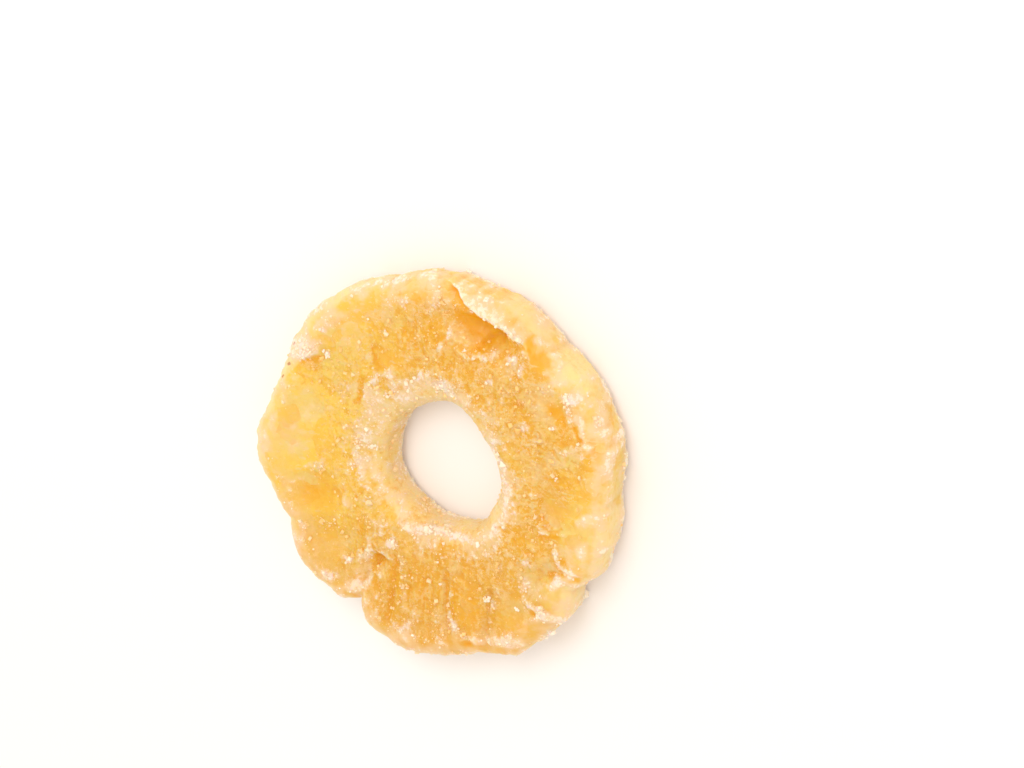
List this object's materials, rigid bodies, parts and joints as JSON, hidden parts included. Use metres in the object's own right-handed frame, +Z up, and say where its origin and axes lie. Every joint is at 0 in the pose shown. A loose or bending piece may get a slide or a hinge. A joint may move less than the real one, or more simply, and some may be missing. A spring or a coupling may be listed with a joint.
{
  "type": "dried pineapple ring",
  "caption": "Candied dried pineapple slice lying flat: a thick, lobed, sugar-frosted ring of fibrous fruit with its core cut out.",
  "frame": {"origin": "the middle of the ring's box, at the height of the table it lies on", "axes": "+Z up, along the core hole, out of the shown face; +X along the ring's longest width, away from its widest lobe"},
  "size_m": [0.0682, 0.0672, 0.0098],
  "materials": {
    "candied_flesh": "waxy, slightly translucent golden fruit flesh, paler and frosted with fine sugar on the rims and ridges, amber in the hollows"
  },
  "bodies": {
    "root": {"pineapple_ring": "candied_flesh"}
  },
  "joints": []
}
